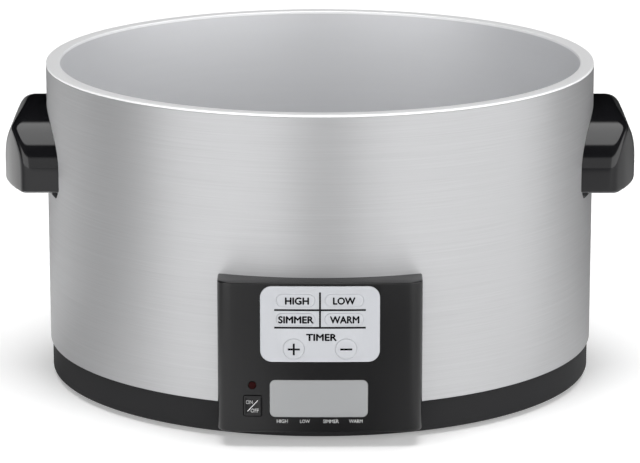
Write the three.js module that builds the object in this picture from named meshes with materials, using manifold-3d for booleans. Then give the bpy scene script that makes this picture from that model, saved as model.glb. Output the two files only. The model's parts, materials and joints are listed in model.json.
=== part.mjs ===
// Heating base of a programmable slow cooker: a steel-wrapped pot well on a moulded base pan,
// with two side handles, a control panel of sprung keys, and the heater and boards inside.
// Millimetres, +Z up. The feet stand on z = 0 and the panel faces -Y.
import * as THREE from 'three';
import { mergeVertices } from 'three/addons/utils/BufferGeometryUtils.js';
import Module from 'manifold-3d';

const wasm = await Module();
wasm.setup();

// Driving dimensions: the body
const wrapRadius = 125;
const wrapWall = 0.8;
const wrapBottom = 16;
const rimTop = 144.5;
const rimRadius = 125;
const rimThickness = 1;
const wellRadius = 118.7;
const wellFloor = 36;
const wellCorner = 12;
const linerWall = 1;
const ringRadius = 124;
const ringWall = 2.4;
const ringBottom = 2;
const panFloor = 4;
const panThickness = 2;
const lipClearance = 0.4;
const lipHeight = 4;
const fitGap = 0.3;
const roundSteps = 48;

// Driving dimensions: the control panel, measured from its front face inwards
const panelFront = 133.5;
const panelHalfWidth = 44;
const panelBottom = 6.8;
const panelTop = 73.4;
const panelCorner = 6;
const panelCurve = 600;
const panelWall = 2;
const panelSideWall = 2.2;
const plateProud = 0.5;
const keyProud = 1.1;
const keyFlange = 0.8;
const keyFlangeOverlap = 0.9;
const switchDepth = 4.9;
const switchBore = 1.8;
const boardDepth = 7.6;
const boardThickness = 1.4;
const notchHalfWidth = 38;
const notchTop = 71;
const cutFront = -150;
const cutBack = -110;

// Driving dimensions: the handles
const handleReach = 144.5;
const handleTop = 126.2;
const handleShoulder = 100.5;
const handleBottom = 91;
const handleHalfWidth = 43.5;
const handleFaceRadius = 88;
const handleFlatTop = 6.8;
const handleWall = 3;
const pocketTop = 113;
const pocketHalfWidth = 24;
const skirtThickness = 2.6;
const skirtBottom = 88;
const handleScrewAngle = 14.5;
const handleScrewHeight = 98;

// Driving dimensions: inside the base and under it
const studRadius = 2.5;
const studHole = 3.2;
const bossTop = 28.5;
const bossWeb = 3;
const bossInner = 8;
const bossOuter = 10;
const shieldHeight = 28.8;
const shieldRadius = 100;
const sheet = 0.8;
const boardHeight = 10;
const powerBoardThickness = 1.6;
const footCircle = 100;
const footRadius = 9.6;
const ventCount = 8;
const bandRadius = 120.1;
const bandThickness = 1.6;
const bandGapAngle = 22;
const glandHeight = 11;
const glandBore = 2.9;
const screwShank = 1.9;
const screwHole = 2.2;
const screwHead = 3.7;
const farOut = 160;

// The panel reaches further forward than the rim reaches back, so the body's axis sits
// behind the origin by half the difference.
const bodyAxisY = (panelFront + keyProud - rimRadius) / 2;

const cooker = new THREE.Group();
cooker.name = 'slow_cooker';
cooker.position.y = bodyAxisY;

const looks = {
  steel: { color: 0xb9babc, roughness: 0.34, metalness: 1 },
  liner: { color: 0xc4c6ca, roughness: 0.42, metalness: 0.9 },
  blackGloss: { color: 0x0b0c0d, roughness: 0.12, metalness: 0 },
  blackSatin: { color: 0x17181a, roughness: 0.38, metalness: 0 },
  silver: { color: 0xd3d4d8, roughness: 0.35, metalness: 0.2 },
  lens: { color: 0xa5a8aa, roughness: 0.15, metalness: 0 },
  led: { color: 0x4a0d0d, roughness: 0.2, metalness: 0 },
  rubber: { color: 0x141414, roughness: 0.85, metalness: 0 },
  zinc: { color: 0xaeb0b2, roughness: 0.4, metalness: 1 },
  board: { color: 0x1f5a33, roughness: 0.5, metalness: 0 },
  component: { color: 0x202226, roughness: 0.5, metalness: 0 },
  heater: { color: 0x8c8578, roughness: 0.6, metalness: 0.4 },
  cable: { color: 0xc9c4b8, roughness: 0.6, metalness: 0 }
};

// Adds one named piece to the cooker.
function piece(name, geometry, look, place = [0, 0, 0], turn = 0) {
  const mesh = new THREE.Mesh(geometry, new THREE.MeshStandardMaterial(looks[look]));
  mesh.name = name;
  mesh.position.set(...place);
  mesh.rotation.z = turn;
  cooker.add(mesh);
}

// Booleans: geometries go in as closed solids and come back as geometries.
function solidOf(geometry) {
  const bare = geometry.clone();
  bare.deleteAttribute('normal');
  bare.deleteAttribute('uv');
  const merged = mergeVertices(bare, 1e-4);
  return new wasm.Manifold(new wasm.Mesh({
    numProp: 3,
    vertProperties: new Float32Array(merged.attributes.position.array),
    triVerts: new Uint32Array(merged.index.array)
  }));
}

function geometryOf(solid) {
  const mesh = solid.getMesh();
  const geometry = new THREE.BufferGeometry();
  geometry.setAttribute('position', new THREE.BufferAttribute(mesh.vertProperties, 3));
  geometry.setIndex(new THREE.BufferAttribute(mesh.triVerts, 1));
  geometry.computeVertexNormals();
  return geometry;
}

function combine(method, base, others) {
  return geometryOf(others.reduce((solid, other) => solid[method](solidOf(other)), solidOf(base)));
}

const cut = (base, ...tools) => combine('subtract', base, tools);
const join = (base, ...others) => combine('add', base, others);
const common = (base, ...others) => combine('intersect', base, others);

// A solid of revolution about Z from its [radius, height] outline, listed anticlockwise.
function turned(outline, steps = roundSteps) {
  const points = [...outline, outline[0]].map(([radius, height]) => new THREE.Vector2(radius, height));
  return geometryOf(solidOf(new THREE.LatheGeometry(points, steps).rotateX(Math.PI / 2)));
}

function ring(inner, outer, bottom, top, steps = roundSteps) {
  return turned([[inner, bottom], [outer, bottom], [outer, top], [inner, top]], steps);
}

function disc(radius, bottom, top, steps = 14) {
  return new THREE.CylinderGeometry(radius, radius, top - bottom, steps)
    .rotateX(Math.PI / 2)
    .translate(0, 0, (bottom + top) / 2);
}

// The points of a quarter bend from one angle to another, in degrees.
function bend(centreX, centreY, radius, from, to, steps) {
  return Array.from({ length: steps + 1 }, (_, i) => {
    const angle = THREE.MathUtils.degToRad(from + (to - from) * i / steps);
    return [centreX + radius * Math.cos(angle), centreY + radius * Math.sin(angle)];
  });
}

function block(low, high) {
  const size = high.map((value, i) => value - low[i]);
  const middle = high.map((value, i) => (value + low[i]) / 2);
  return new THREE.BoxGeometry(...size).translate(...middle);
}

const shapeOf = (points) => new THREE.Shape(points.map(([x, y]) => new THREE.Vector2(x, y)));

// Prisms along each axis. Outlines are drawn in XY, in XZ and in YZ.
function uprightPrism(shape, bottom, top, curveSegments = 3) {
  const options = { depth: top - bottom, bevelEnabled: false, curveSegments };
  return new THREE.ExtrudeGeometry(shape, options).translate(0, 0, bottom);
}

function frontPrism(shape, front, back, curveSegments = 2) {
  return uprightPrism(shape, -back, -front, curveSegments).rotateX(Math.PI / 2);
}

function sidePrism(shape, from, to, curveSegments = 3) {
  return uprightPrism(shape, from, to, curveSegments).rotateX(Math.PI / 2).rotateZ(Math.PI / 2);
}

function roundedOutline(width, height, radius, centreX = 0, centreY = 0) {
  const right = centreX + width / 2 - radius;
  const left = centreX - width / 2 + radius;
  const top = centreY + height / 2 - radius;
  const bottom = centreY - height / 2 + radius;
  const quarter = Math.PI / 2;
  const shape = new THREE.Shape();
  shape.absarc(right, bottom, radius, -quarter, 0);
  shape.absarc(right, top, radius, 0, quarter);
  shape.absarc(left, top, radius, quarter, 2 * quarter);
  shape.absarc(left, bottom, radius, 2 * quarter, 3 * quarter);
  shape.closePath();
  return shape;
}

// A curved plate standing on edge between two angles about Z, in degrees.
function arcPlate(inner, outer, from, to, bottom, top, steps) {
  const outside = bend(0, 0, outer, from, to, steps);
  const inside = bend(0, 0, inner, to, from, steps);
  return uprightPrism(shapeOf([...outside, ...inside]), bottom, top);
}

// A round lead along hand-set points.
function lead(points, radius) {
  const path = new THREE.CatmullRomCurve3(points.map((point) => new THREE.Vector3(...point)));
  const section = shapeOf(bend(0, 0, radius, 0, 300, 5));
  return new THREE.ExtrudeGeometry(section, { steps: 18, bevelEnabled: false, extrudePath: path });
}

function pin(radius, from, to, steps = 12) {
  return disc(radius, from, to, steps).rotateY(Math.PI / 2);
}

// Body shell
function addOuterWrap() {
  const shell = ring(wrapRadius - wrapWall, wrapRadius, wrapBottom, rimTop - rimThickness - fitGap);
  const notch = block([-notchHalfWidth, -farOut, 0], [notchHalfWidth, 0, notchTop]);
  const screwHoles = handleScrewHoles(handleScrewTurns(), 132);
  piece('outer_wrap', cut(shell, notch, ...screwHoles), 'steel');
}

function addLiner() {
  const rimEdge = 0.5;
  const rimUnderside = rimTop - rimThickness;
  const outerWall = wellRadius + linerWall;
  const underside = wellFloor - linerWall;
  const cornerCentre = wellRadius - wellCorner;
  const outline = [
    [0, underside],
    ...bend(cornerCentre, wellFloor + wellCorner, wellCorner + linerWall, 270, 360, 4),
    [outerWall, rimUnderside],
    [rimRadius, rimUnderside],
    ...bend(rimRadius - rimEdge, rimTop - rimEdge, rimEdge, 0, 90, 2),
    ...bend(wellRadius + rimEdge, rimTop - rimEdge, rimEdge, 90, 180, 2),
    ...bend(cornerCentre, wellFloor + wellCorner, wellCorner, 360, 270, 4),
    [0, wellFloor]
  ];
  piece('liner', turned(outline), 'liner');
}

function addBasePan() {
  const floorTop = panFloor + panThickness;
  const ringInside = ringRadius - ringWall;
  const lipRadius = wrapRadius - wrapWall - lipClearance;
  const lipTop = wrapBottom + lipHeight;
  const ringTop = wrapBottom - fitGap;
  const skirtInside = ringRadius - 4;
  const edge = 1;
  const turnedPan = turned([
    [studHole, bossTop - bossWeb], [bossInner, bossTop - bossWeb], [bossInner, panFloor],
    [skirtInside, panFloor], [skirtInside, ringBottom],
    ...bend(ringRadius - edge, ringBottom + edge, edge, 270, 360, 2),
    [ringRadius, ringTop], [lipRadius, ringTop], [lipRadius, lipTop],
    [ringInside, lipTop], [ringInside, floorTop], [bossOuter, floorTop],
    [bossOuter, bossTop], [studHole, bossTop]
  ]);
  const rooted = floorTop - 1;
  const footPosts = cornerPlaces().map(([x, y]) => disc(4.5, rooted, 14).translate(x, y, 0));
  const boardPosts = boardCorners().map(([x, y]) => disc(3, rooted, boardHeight - fitGap, 12)
    .translate(x, y, 0));
  const footHoles = cornerPlaces().map(([x, y]) => disc(screwHole, 0, 12.5, 12).translate(x, y, 0));
  const vents = Array.from({ length: ventCount }, (_, i) => block([44, -1.5, 0], [76, 1.5, 8])
    .rotateZ((i + 0.5) * 2 * Math.PI / ventCount));
  const glandHole = frontPrism(roundedOutline(8.2, 8.2, 4.1, 0, glandHeight), 115, 130);
  const pan = join(turnedPan, ...footPosts, ...boardPosts);
  piece('base_pan', cut(pan, ...footHoles, ...vents, glandHole), 'blackSatin');
}

function cornerPlaces() {
  const reach = footCircle * Math.SQRT1_2;
  return [[reach, reach], [-reach, reach], [-reach, -reach], [reach, -reach]];
}

function addFeet() {
  const top = panFloor - fitGap;
  const recessRadius = screwHead + 0.5;
  const recessDepth = 2.1;
  const edge = 0.6;
  const pad = turned([
    [screwHole, recessDepth], [recessRadius, recessDepth], [recessRadius, 0], [footRadius - edge, 0],
    [footRadius, edge], [footRadius, top], [screwHole, top]
  ], 14);
  const screw = join(disc(screwHead, 0.6, 1.8), disc(screwShank, 1.7, 12, 12));
  cornerPlaces().forEach(([x, y], i) => {
    piece(`foot_${i + 1}`, pad, 'rubber', [x, y, 0]);
    piece(`foot_screw_${i + 1}`, screw, 'zinc', [x, y, 0]);
  });
}

// Control panel
// The plan of the panel: a slightly bowed front, rounded corners and straight sides.
function panelPlan(inset, frontInset) {
  const side = panelHalfWidth - inset;
  const corner = panelCorner - inset;
  const bow = (side - corner) ** 2 / (2 * panelCurve);
  const cornerY = -panelFront + frontInset + bow + corner;
  const front = facePoints(side - corner, frontInset, 10);
  return shapeOf([
    ...front,
    ...bend(side - corner, cornerY, corner, 285, 360, 4),
    [side, cutBack],
    [-side, cutBack],
    ...bend(-side + corner, cornerY, corner, 180, 255, 4)
  ]);
}

// Points on the bowed front face, from left to right, at one depth behind it.
function facePoints(halfWidth, depth, steps) {
  return Array.from({ length: steps + 1 }, (_, i) => {
    const x = halfWidth * (2 * i / steps - 1);
    return [x, -panelFront + depth + x * x / (2 * panelCurve)];
  });
}

// A piece with the given front outline whose front and back follow the bowed face.
function bowedPiece(outline, depthFront, depthBack) {
  const front = facePoints(panelHalfWidth, depthFront, 14);
  const back = facePoints(panelHalfWidth, depthBack, 14).reverse();
  const layer = uprightPrism(shapeOf([...front, ...back]), 0, panelTop + 10);
  return common(layer, frontPrism(outline, cutFront, cutBack));
}

// The keys by name: place on the face, size and corner radius.
const keys = {
  key_high: { x: -10.4, z: 65.7, width: 16.6, height: 5.6, corner: 2.7 },
  key_low: { x: 10.4, z: 65.7, width: 16.6, height: 5.6, corner: 2.7 },
  key_simmer: { x: -10.4, z: 57.4, width: 16.6, height: 5.6, corner: 2.7 },
  key_warm: { x: 10.4, z: 57.4, width: 16.6, height: 5.6, corner: 2.7 },
  key_plus: { x: -11.2, z: 44.3, width: 9.2, height: 9.2, corner: 4.6 },
  key_minus: { x: 11.2, z: 44.3, width: 9.2, height: 9.2, corner: 4.6 },
  power_button: { x: -28.9, z: 18.75, width: 7.7, height: 9.1, corner: 0.8 }
};
const keypad = { x: 0, z: 55.2, width: 51.2, height: 33.4, corner: 5 };
const display = { x: -0.5, z: 22, width: 42.2, height: 16.6, corner: 2.4 };
const lamp = { x: -29.1, z: 27.9, radius: 1.6 };

function outlineOf({ x, z, width, height, corner }, grow = 0) {
  return roundedOutline(width + 2 * grow, height + 2 * grow, corner + grow, x, z);
}

function holeFor(key) {
  return frontPrism(outlineOf(key, fitGap), cutFront, cutBack);
}

function lampHole() {
  const radius = lamp.radius + fitGap;
  return frontPrism(roundedOutline(2 * radius, 2 * radius, radius, lamp.x, lamp.z), cutFront, cutBack);
}

function addControlHousing() {
  const shell = uprightPrism(panelPlan(0, 0), panelBottom, panelTop);
  const wall = panelSideWall;
  const hollow = uprightPrism(panelPlan(wall, panelWall), panelBottom + wall, panelTop - wall);
  const bodySpace = disc(wrapRadius + fitGap, wrapBottom - 2 * fitGap, farOut, roundSteps);
  const ringSpace = disc(ringRadius + fitGap, 0, 30, roundSteps);
  const recess = bowedPiece(outlineOf(keypad, fitGap), -1, plateProud + fitGap);
  const holes = [...Object.values(keys), display].map(holeFor);
  const tools = [hollow, bodySpace, ringSpace, recess, ...holes, lampHole()];
  piece('control_housing', cut(shell, ...tools), 'blackSatin');
}

function addKeypad() {
  const silverKeys = Object.entries(keys).filter(([name]) => name.startsWith('key_'));
  const holes = silverKeys.map(([, key]) => holeFor(key));
  piece('keypad_plate', cut(bowedPiece(outlineOf(keypad), -plateProud, plateProud), ...holes), 'silver');
}

// Each key is a cap in its hole, a flange that keeps it in and a stem in its switch.
function addKeys() {
  const flangeFront = panelWall + fitGap;
  for (const [name, key] of Object.entries(keys)) {
    const proud = name === 'power_button' ? plateProud : keyProud;
    const cap = bowedPiece(outlineOf(key), -proud, flangeFront + 0.2);
    const flange = bowedPiece(outlineOf(key, keyFlangeOverlap), flangeFront, flangeFront + keyFlange);
    const stemOutline = roundedOutline(3, 3, 1.5, key.x, key.z);
    const stemFront = -panelFront + flangeFront + keyFlange / 2;
    const stem = frontPrism(stemOutline, stemFront, -panelFront + switchDepth + 0.8);
    piece(name, join(cap, flange, stem), name === 'power_button' ? 'blackSatin' : 'silver');
  }
}

function addSwitches() {
  const front = -panelFront + switchDepth;
  const back = -panelFront + boardDepth - fitGap;
  for (const [name, key] of Object.entries(keys)) {
    const body = frontPrism(roundedOutline(6.2, 6.2, 0.6, key.x, key.z), front, back, 1);
    const bore = frontPrism(roundedOutline(3.8, 3.8, 1.9, key.x, key.z), front - 1, front + switchBore);
    const switchName = name.replace('key_', 'switch_').replace('power_button', 'switch_power');
    piece(switchName, cut(body, bore), 'component');
  }
}

function addDisplay() {
  const flangeFront = panelWall + fitGap;
  const lens = bowedPiece(outlineOf(display), 0.15, flangeFront + 0.2);
  const flange = bowedPiece(outlineOf(display, 1), flangeFront, flangeFront + keyFlange);
  piece('display_window', join(lens, flange), 'lens');
  const moduleOutline = roundedOutline(40, 16, 1, display.x, display.z);
  const back = -panelFront + boardDepth - fitGap;
  piece('lcd_module', frontPrism(moduleOutline, -panelFront + 3.9, back), 'lens');
}

function addIndicator() {
  const length = boardDepth - fitGap + 0.1;
  const outline = [[0, 0], [lamp.radius, 0], [lamp.radius, length - 0.7], [1.1, length - 0.2], [0, length]];
  const body = turned(outline, 16);
  body.rotateX(Math.PI / 2);
  piece('indicator_led', body, 'led', [lamp.x, -panelFront + boardDepth - fitGap, lamp.z]);
}

function addControlBoard() {
  const front = -panelFront + boardDepth;
  const outline = roundedOutline(72, 60.6, 1.5, 0, 40.2);
  piece('control_board', frontPrism(outline, front, front + boardThickness), 'board');
}

// Handles
// A domed grip whose outline is an arch, whose face is an arc in plan and whose shoulder falls away.
function gripForm({ reach, top, bottom, halfWidth, faceRadius, flatTop }) {
  const steps = 12;
  const archPower = 2.15;
  const shoulderPower = 1.6;
  const rise = top - handleShoulder;
  const fall = (share, power) => handleShoulder + rise * (1 - share ** power) ** (1 / power);
  const half = Array.from({ length: steps + 1 }, (_, i) => {
    const share = Math.sin(i / steps * Math.PI / 2);
    return [halfWidth * share, fall(share, archPower)];
  });
  const mirrored = half.slice(1).reverse().map(([y, z]) => [-y, z]);
  const arch = shapeOf([[halfWidth, bottom], ...half.reverse(), ...mirrored.reverse(), [-halfWidth, bottom]]);
  const edge = wrapRadius + flatTop;
  const shoulder = Array.from({ length: steps + 1 }, (_, i) => {
    const share = Math.sin(i / steps * Math.PI / 2);
    return [edge + (reach - edge) * share, fall(share, shoulderPower)];
  });
  const profile = shapeOf([[100, bottom], [100, top], ...shoulder, [reach, bottom]]);
  const faceAngle = THREE.MathUtils.radToDeg(Math.asin(halfWidth / faceRadius));
  const face = bend(reach - faceRadius, 0, faceRadius, -faceAngle, faceAngle, 12);
  const plan = shapeOf([[100, -halfWidth], ...face, [100, halfWidth]]);
  return common(
    uprightPrism(plan, bottom, top),
    sidePrism(arch, 90, 150),
    frontPrism(profile, -60, 60)
  );
}

// The turns about Z of the handle screws, two at the right and then two at the left.
function handleScrewTurns() {
  const angle = THREE.MathUtils.degToRad(handleScrewAngle);
  return [-angle, angle, Math.PI - angle, Math.PI + angle];
}

function handleScrewHoles(turns, depth) {
  return turns.map((turn) => pin(screwHole, 118, depth).rotateZ(turn).translate(0, 0, handleScrewHeight));
}

function addHandles() {
  const grip = gripForm({
    reach: handleReach, top: handleTop, bottom: handleBottom, halfWidth: handleHalfWidth,
    faceRadius: handleFaceRadius, flatTop: handleFlatTop
  });
  const skirtRing = ring(wrapRadius, wrapRadius + skirtThickness, skirtBottom, handleShoulder);
  const skirtSpan = block([100, 1 - handleHalfWidth, 0], [farOut, handleHalfWidth - 1, farOut]);
  const skirt = common(skirtRing, skirtSpan);
  const fingerPocket = gripForm({
    reach: handleReach - handleWall, top: pocketTop, bottom: 80, halfWidth: pocketHalfWidth,
    faceRadius: handleFaceRadius - handleWall, flatTop: 9
  });
  const pocket = cut(fingerPocket, disc(wrapRadius + skirtThickness + 0.2, 0, farOut, roundSteps));
  const bodySpace = disc(wrapRadius + fitGap, 0, farOut, roundSteps);
  const screwHoles = handleScrewHoles(handleScrewTurns().slice(0, 2), 136);
  const handle = cut(join(grip, skirt), pocket, bodySpace, ...screwHoles);
  const bracketOuter = wrapRadius - wrapWall - fitGap;
  const bracketInner = bracketOuter - 1.5;
  const bracket = cut(arcPlate(bracketInner, bracketOuter, -19, 19, 93, 104, 10), ...screwHoles);
  for (const [side, turn] of [['right', 0], ['left', Math.PI]]) {
    piece(`handle_${side}`, handle, 'blackGloss', [0, 0, 0], turn);
    piece(`handle_bracket_${side}`, bracket, 'zinc', [0, 0, 0], turn);
  }
  const headTop = bracketInner - fitGap;
  const screw = join(pin(screwHead, headTop - 1.5, headTop), pin(screwShank, headTop - 0.1, 134));
  handleScrewTurns().forEach((turn, i) => {
    piece(`handle_screw_${i + 1}`, screw, 'zinc', [0, 0, handleScrewHeight], turn);
  });
}

// Heater, shield and centre fixing
function addHeater() {
  const from = -90 + bandGapAngle;
  const to = 270 - bandGapAngle;
  const bandOuter = bandRadius + bandThickness;
  piece('heater_band', arcPlate(bandRadius, bandOuter, from, to, 42, 88, 36), 'heater');
  piece('band_hoop', ring(bandOuter + fitGap, bandOuter + fitGap + 0.6, 62, 68), 'zinc');
}

function addCentreFixing() {
  const shieldTop = shieldHeight + sheet;
  const shieldLip = shieldHeight + 3.7;
  const shieldOutline = [
    [studHole, shieldHeight], [shieldRadius, shieldHeight], [shieldRadius, shieldLip],
    [shieldRadius - sheet, shieldLip], [shieldRadius - sheet, shieldTop], [studHole, shieldTop]
  ];
  const leadHole = disc(3, 20, 40, 12).translate(30, -10, 0);
  piece('heat_shield', cut(turned(shieldOutline), leadHole), 'zinc');
  const underWell = wellFloor - linerWall;
  const padBottom = underWell - 1.8;
  const stud = join(disc(9, padBottom, underWell - fitGap, 16), disc(studRadius, 17, padBottom + 0.1));
  piece('liner_stud', stud, 'zinc');
  piece('shield_spacer', ring(studHole, 7, shieldTop + fitGap, padBottom - fitGap, 16), 'zinc');
  const washerTop = bossTop - bossWeb - fitGap;
  const nutTop = washerTop - 1 - fitGap;
  piece('stud_washer', ring(studHole, 7, washerTop - 1, washerTop, 16), 'zinc');
  piece('stud_nut', cut(disc(4.62, nutTop - 4, nutTop, 6), disc(2.8, 15, 30)), 'zinc');
}

// Boards and parts inside the base
function boardCorners() {
  return [[36, 33], [-36, 33], [36, 77], [-36, 77]];
}

function addPowerElectronics() {
  const boardTop = boardHeight + powerBoardThickness;
  const top = boardTop + fitGap;
  piece('power_board', block([-42, 28, boardHeight], [42, 82, boardTop]), 'board');
  piece('relay', block([-32, 40, top], [-13, 56, top + 14]), 'component');
  piece('transformer', block([3, 39, top], [33, 65, top + 15]), 'zinc');
  piece('terminal_block', block([-30, 70, top], [-8, 80, top + 10]), 'cable');
}

function addSensors() {
  const underWell = wellFloor - linerWall;
  const puck = disc(5, 31.2, underWell - fitGap);
  piece('temperature_sensor', puck, 'component', [30, -30, 0]);
  const clip = shapeOf([
    [-6.2, 30], [6.2, 30], [6.2, 33.5], [5.4, 33.5], [5.4, 30.8], [-5.4, 30.8], [-5.4, 33.5], [-6.2, 33.5]
  ]);
  piece('sensor_clip', frontPrism(clip, -4, 4), 'zinc', [30, -30, 0]);
  piece('thermal_fuse', pin(2, -7, 7), 'cable', [-35, 30, 32.5]);
}

function addLeads() {
  const startX = 47.5;
  const startY = -111.5;
  const leftRoute = [[-startX, startY, 41.5], [-startX, startY + 1, 36], [-45, -100, 20], [-46, -40, 17],
    [-47, 30, 17], [-44, 68, 17], [-31, 75, 17]];
  const rightRoute = [[startX, startY, 41.5], [startX, startY + 1, 36], [45, -100, 20], [47, -40, 17],
    [49, 30, 17], [44, 86, 17], [0, 92, 17], [-16, 81, 17]];
  piece('heater_lead_left', lead(leftRoute, 1.2), 'cable');
  piece('heater_lead_right', lead(rightRoute, 1.2), 'cable');
  const sensorRoute = [
    [30, -24.4, 32.9], [30, -17, 32.4], [30, -9.5, 29], [30, 0, 20], [30, 18, 13], [30, 27.5, 10.8]
  ];
  piece('sensor_lead', lead(sensorRoute, 0.8), 'cable');
  const back = -panelFront + boardDepth + boardThickness + fitGap;
  const upper = [[back, 27.4], [-112, 24.4], [-60, 20], [0, 14], [27.6, 11.4]];
  const lower = upper.map(([y, z]) => [y, z - 1]).reverse();
  piece('ribbon_cable', sidePrism(shapeOf([...upper, ...lower]), -26, -14), 'cable');
}

function addCordGland() {
  const inner = 118.5;
  const outer = 125.3;
  const bush = ring(glandBore, 3.8, inner, outer, 14);
  const outerCollar = ring(glandBore, 4.7, ringRadius + fitGap, outer, 14);
  const innerCollar = ring(glandBore, 4.6, inner, inner + 2.5, 14);
  const gland = join(bush, outerCollar, innerCollar).rotateX(-Math.PI / 2);
  piece('cord_gland', gland, 'rubber', [0, 0, glandHeight]);
}

addOuterWrap();
addLiner();
addBasePan();
addFeet();
addControlHousing();
addKeypad();
addKeys();
addSwitches();
addDisplay();
addIndicator();
addControlBoard();
addHandles();
addHeater();
addCentreFixing();
addPowerElectronics();
addSensors();
addLeads();
addCordGland();

export default cooker;
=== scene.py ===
import json
import math

import bmesh
import bpy
import numpy as np
from mathutils import Matrix, Vector


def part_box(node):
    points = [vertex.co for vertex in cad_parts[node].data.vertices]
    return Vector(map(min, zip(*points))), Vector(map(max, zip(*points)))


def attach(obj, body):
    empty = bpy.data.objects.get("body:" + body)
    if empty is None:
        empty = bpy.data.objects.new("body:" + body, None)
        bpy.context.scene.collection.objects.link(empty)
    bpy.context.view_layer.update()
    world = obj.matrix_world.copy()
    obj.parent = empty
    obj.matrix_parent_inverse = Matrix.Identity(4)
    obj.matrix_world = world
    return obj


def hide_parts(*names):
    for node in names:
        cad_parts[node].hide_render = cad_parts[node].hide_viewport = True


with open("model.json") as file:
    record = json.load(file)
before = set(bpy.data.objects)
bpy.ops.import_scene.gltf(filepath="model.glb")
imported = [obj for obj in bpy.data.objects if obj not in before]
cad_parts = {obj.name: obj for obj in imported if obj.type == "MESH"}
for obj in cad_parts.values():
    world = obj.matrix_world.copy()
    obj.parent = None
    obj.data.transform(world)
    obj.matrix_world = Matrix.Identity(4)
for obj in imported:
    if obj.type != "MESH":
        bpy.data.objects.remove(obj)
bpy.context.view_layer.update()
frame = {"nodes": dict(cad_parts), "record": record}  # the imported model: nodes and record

mm = 0.001
nodes = frame["nodes"]

# Places and sizes that several pieces share, read from the frame
wrapLow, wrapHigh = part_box("outer_wrap")
linerLow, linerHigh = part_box("liner")
panLow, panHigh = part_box("base_pan")
housingLow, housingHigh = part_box("control_housing")
axisY = (wrapLow.y + wrapHigh.y) / 2  # the body's axis stands behind the origin
wrapRadius = (wrapHigh.x - wrapLow.x) / 2
rimRadius = (linerHigh.x - linerLow.x) / 2
ringRadius = (panHigh.x - panLow.x) / 2
rimTop = linerHigh.z
faceY = housingLow.y  # the panel's front face at its middle
faceBow = 600 * mm  # radius of the panel's bowed face in plan

# Camera
studioCamera = dict(distance=12.9244, rise=0.1946, pitch=0.2437, lens=198.5)


def addObject(name, data):
    made = bpy.data.objects.new(name, data)
    bpy.context.scene.collection.objects.link(made)
    return made


def makeCamera():
    data = bpy.data.cameras.new("studioCamera")
    data.lens = studioCamera["lens"]
    data.sensor_width = 36
    data.clip_start, data.clip_end = 0.05, 60
    camera = addObject("studioCamera", data)
    away = studioCamera["distance"] * wrapRadius
    rise = studioCamera["rise"]
    camera.location = (0, axisY - away * math.cos(rise), rimTop + away * math.sin(rise))
    camera.rotation_euler = (math.pi / 2 - studioCamera["pitch"], 0, 0)
    bpy.context.scene.camera = camera


makeCamera()
print("camera placed")


# Node makers. feeds gives an input its value, or the output that drives it
def node(tree, kind, feeds=None, **settings):
    made = tree.nodes.new(kind)
    for key, value in settings.items():
        setattr(made, key, value)
    for key, value in (feeds or {}).items():
        if isinstance(value, bpy.types.NodeSocket):
            tree.links.new(value, made.inputs[key])
        else:
            made.inputs[key].default_value = value
    return made


def mathNode(tree, operation, first, second=0, **settings):
    feeds = {0: first, 1: second}
    return node(tree, "ShaderNodeMath", feeds, operation=operation, **settings).outputs[0]


def vectorNode(tree, operation, first, second):
    feeds = {0: first, "Scale" if operation == "SCALE" else 1: second}
    return node(tree, "ShaderNodeVectorMath", feeds, operation=operation).outputs[0]


def noiseNode(tree, vector, **feeds):
    return node(tree, "ShaderNodeTexNoise", {"Vector": vector, **feeds}).outputs["Fac"]


def objectPlace(tree):
    return node(tree, "ShaderNodeTexCoord").outputs["Object"]


# Shader node groups: effects that several finishes share
def newGroup(name, inputs, outputs):
    tree = bpy.data.node_groups.new(name, "ShaderNodeTree")
    for label, value in inputs.items():
        socket = tree.interface.new_socket(label, in_out="INPUT", socket_type="NodeSocketFloat")
        socket.default_value = value
    for label in outputs:
        tree.interface.new_socket(label, in_out="OUTPUT", socket_type="NodeSocketFloat")
    return tree, tree.nodes.new("NodeGroupInput").outputs, tree.nodes.new("NodeGroupOutput")


# Brushed grain: long fine streaks round the body, as a belt leaves them
def makeBrushedGrain():
    inputs = {"Streak length": 26.0, "Line density": 2400.0, "Contrast": 0.5}
    tree, given, out = newGroup("brushedGrain", inputs, ["Streaks"])
    length, density = given["Streak length"], given["Line density"]
    scale = node(tree, "ShaderNodeCombineXYZ", {"X": length, "Y": length, "Z": density})
    stretched = vectorNode(tree, "MULTIPLY", objectPlace(tree), scale.outputs[0])
    fine = noiseNode(tree, stretched, Scale=1.0, Detail=3.0, Roughness=0.65)
    coarse = noiseNode(tree, stretched, Scale=0.45, Detail=2.0)
    both = mathNode(tree, "ADD", fine, mathNode(tree, "MULTIPLY", coarse, 0.4))
    centred = mathNode(tree, "SUBTRACT", both, 0.7)
    scaled = mathNode(tree, "MULTIPLY", centred, given["Contrast"])
    tree.links.new(mathNode(tree, "ADD", scaled, 0.5), out.inputs["Streaks"])
    return tree


# Fine moulded grain: the tooth of satin plastic, plus the slow unevenness of a moulding
def makeMouldedGrain():
    inputs = {"Grain size": 1800.0, "Cloud size": 30.0}
    tree, given, out = newGroup("mouldedGrain", inputs, ["Grain", "Clouds"])
    place = objectPlace(tree)
    for label, size, detail in (("Grain", "Grain size", 2.0), ("Clouds", "Cloud size", 3.0)):
        noise = noiseNode(tree, place, Scale=given[size], Detail=detail)
        tree.links.new(noise, out.inputs[label])
    return tree


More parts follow.
